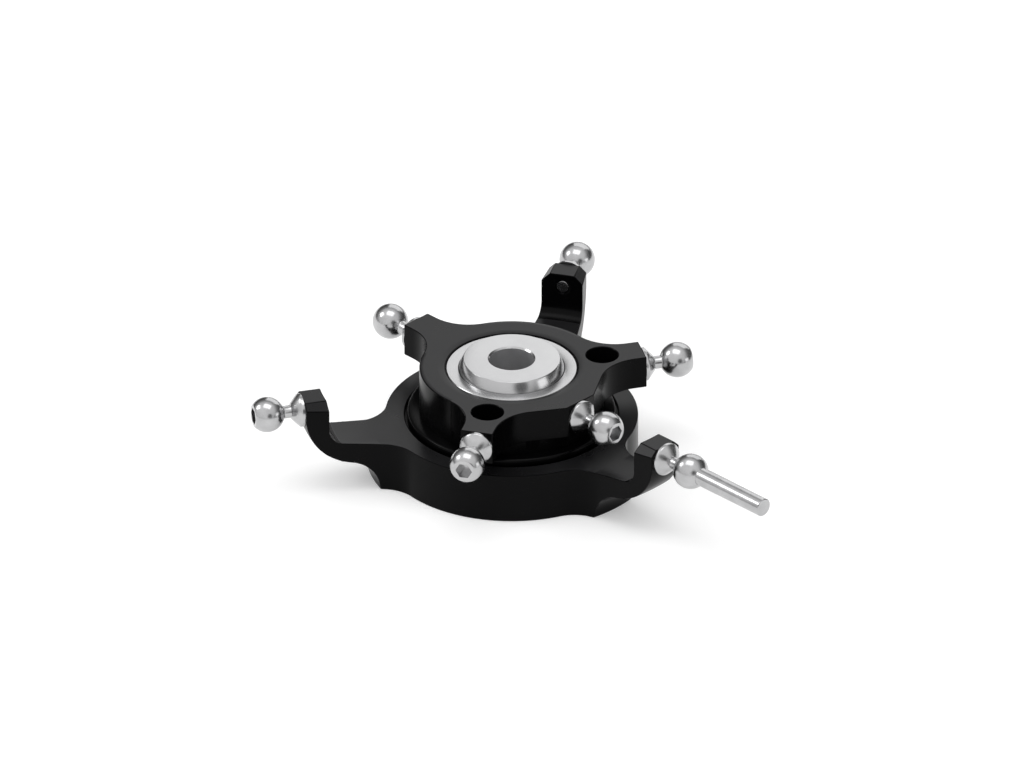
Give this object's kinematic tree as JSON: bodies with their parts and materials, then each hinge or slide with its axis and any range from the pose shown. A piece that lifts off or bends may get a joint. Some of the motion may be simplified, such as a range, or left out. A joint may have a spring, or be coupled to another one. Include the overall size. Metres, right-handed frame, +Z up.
{
  "type": "helicopter swashplate",
  "caption": "Swashplate of a model helicopter: a tilting upper plate turns on a bearing over a lower plate with link balls and a guide pin, both on a ball bored for the mast.",
  "frame": {"origin": "centre of the pivot ball, in the plane of the link balls' centres", "axes": "+Z up along the rotor mast's axis, -Y along the anti-rotation guide pin, +X to the right of it seen from above with the pin pointing down the page"},
  "size_m": [0.0636, 0.0728, 0.0155],
  "materials": {
    "black_anodised": "black anodised, glossy",
    "polished_ball": "turned and polished",
    "turned_ring": "fine turned, satin",
    "white_liner": "smooth, low friction",
    "bearing_steel": "ground",
    "cage_nylon": "moulded",
    "shield_steel": "pressed sheet",
    "spring_steel": "dark phosphated",
    "link_ball_steel": "polished, fine turned rings"
  },
  "bodies": {
    "pivot": {"pivot_ball": "polished_ball"},
    "liner": {"ball_liner": "white_liner"},
    "rotor_side": {"rotating_plate": "black_anodised", "race_ring_upper": "turned_ring", "race_ring_lower": "turned_ring", "bearing_inner_race": "bearing_steel", "hub_circlip": "spring_steel", "pitch_ball_a": "link_ball_steel", "pitch_ball_b": "link_ball_steel", "pitch_ball_c": "link_ball_steel", "driver_ball": "link_ball_steel"},
    "bearing_set": {"bearing_balls": "bearing_steel", "bearing_cage": "cage_nylon"},
    "servo_side": {"stationary_plate": "black_anodised", "bearing_outer_race": "bearing_steel", "bearing_shield_upper": "shield_steel", "bearing_shield_lower": "shield_steel", "housing_circlip": "spring_steel", "servo_ball_a": "link_ball_steel", "servo_ball_b": "link_ball_steel", "guide_pin_ball": "link_ball_steel"}
  },
  "joints": [
    {"name": "roll_tilt", "type": "hinge", "parent": "pivot", "child": "liner", "pos_m": [0, 0, 0], "axis": [0, 1, 0], "range_deg": [-12, 12]},
    {"name": "nose_tilt", "type": "hinge", "parent": "liner", "child": "rotor_side", "pos_m": [0, 0, 0], "axis": [1, 0, 0], "range_deg": [-12, 12]},
    {"name": "swash_spin", "type": "hinge", "parent": "rotor_side", "child": "servo_side", "pos_m": [0, 0, -0.0081], "axis": [0, 0, 1], "continuous": true},
    {"name": "cage_spin", "type": "hinge", "parent": "rotor_side", "child": "bearing_set", "pos_m": [0, 0, -0.0081], "axis": [0, 0, 1], "continuous": true}
  ],
  "couplings": [
    {"joint": "cage_spin", "follows": "swash_spin", "ratio": 0.5426}
  ]
}
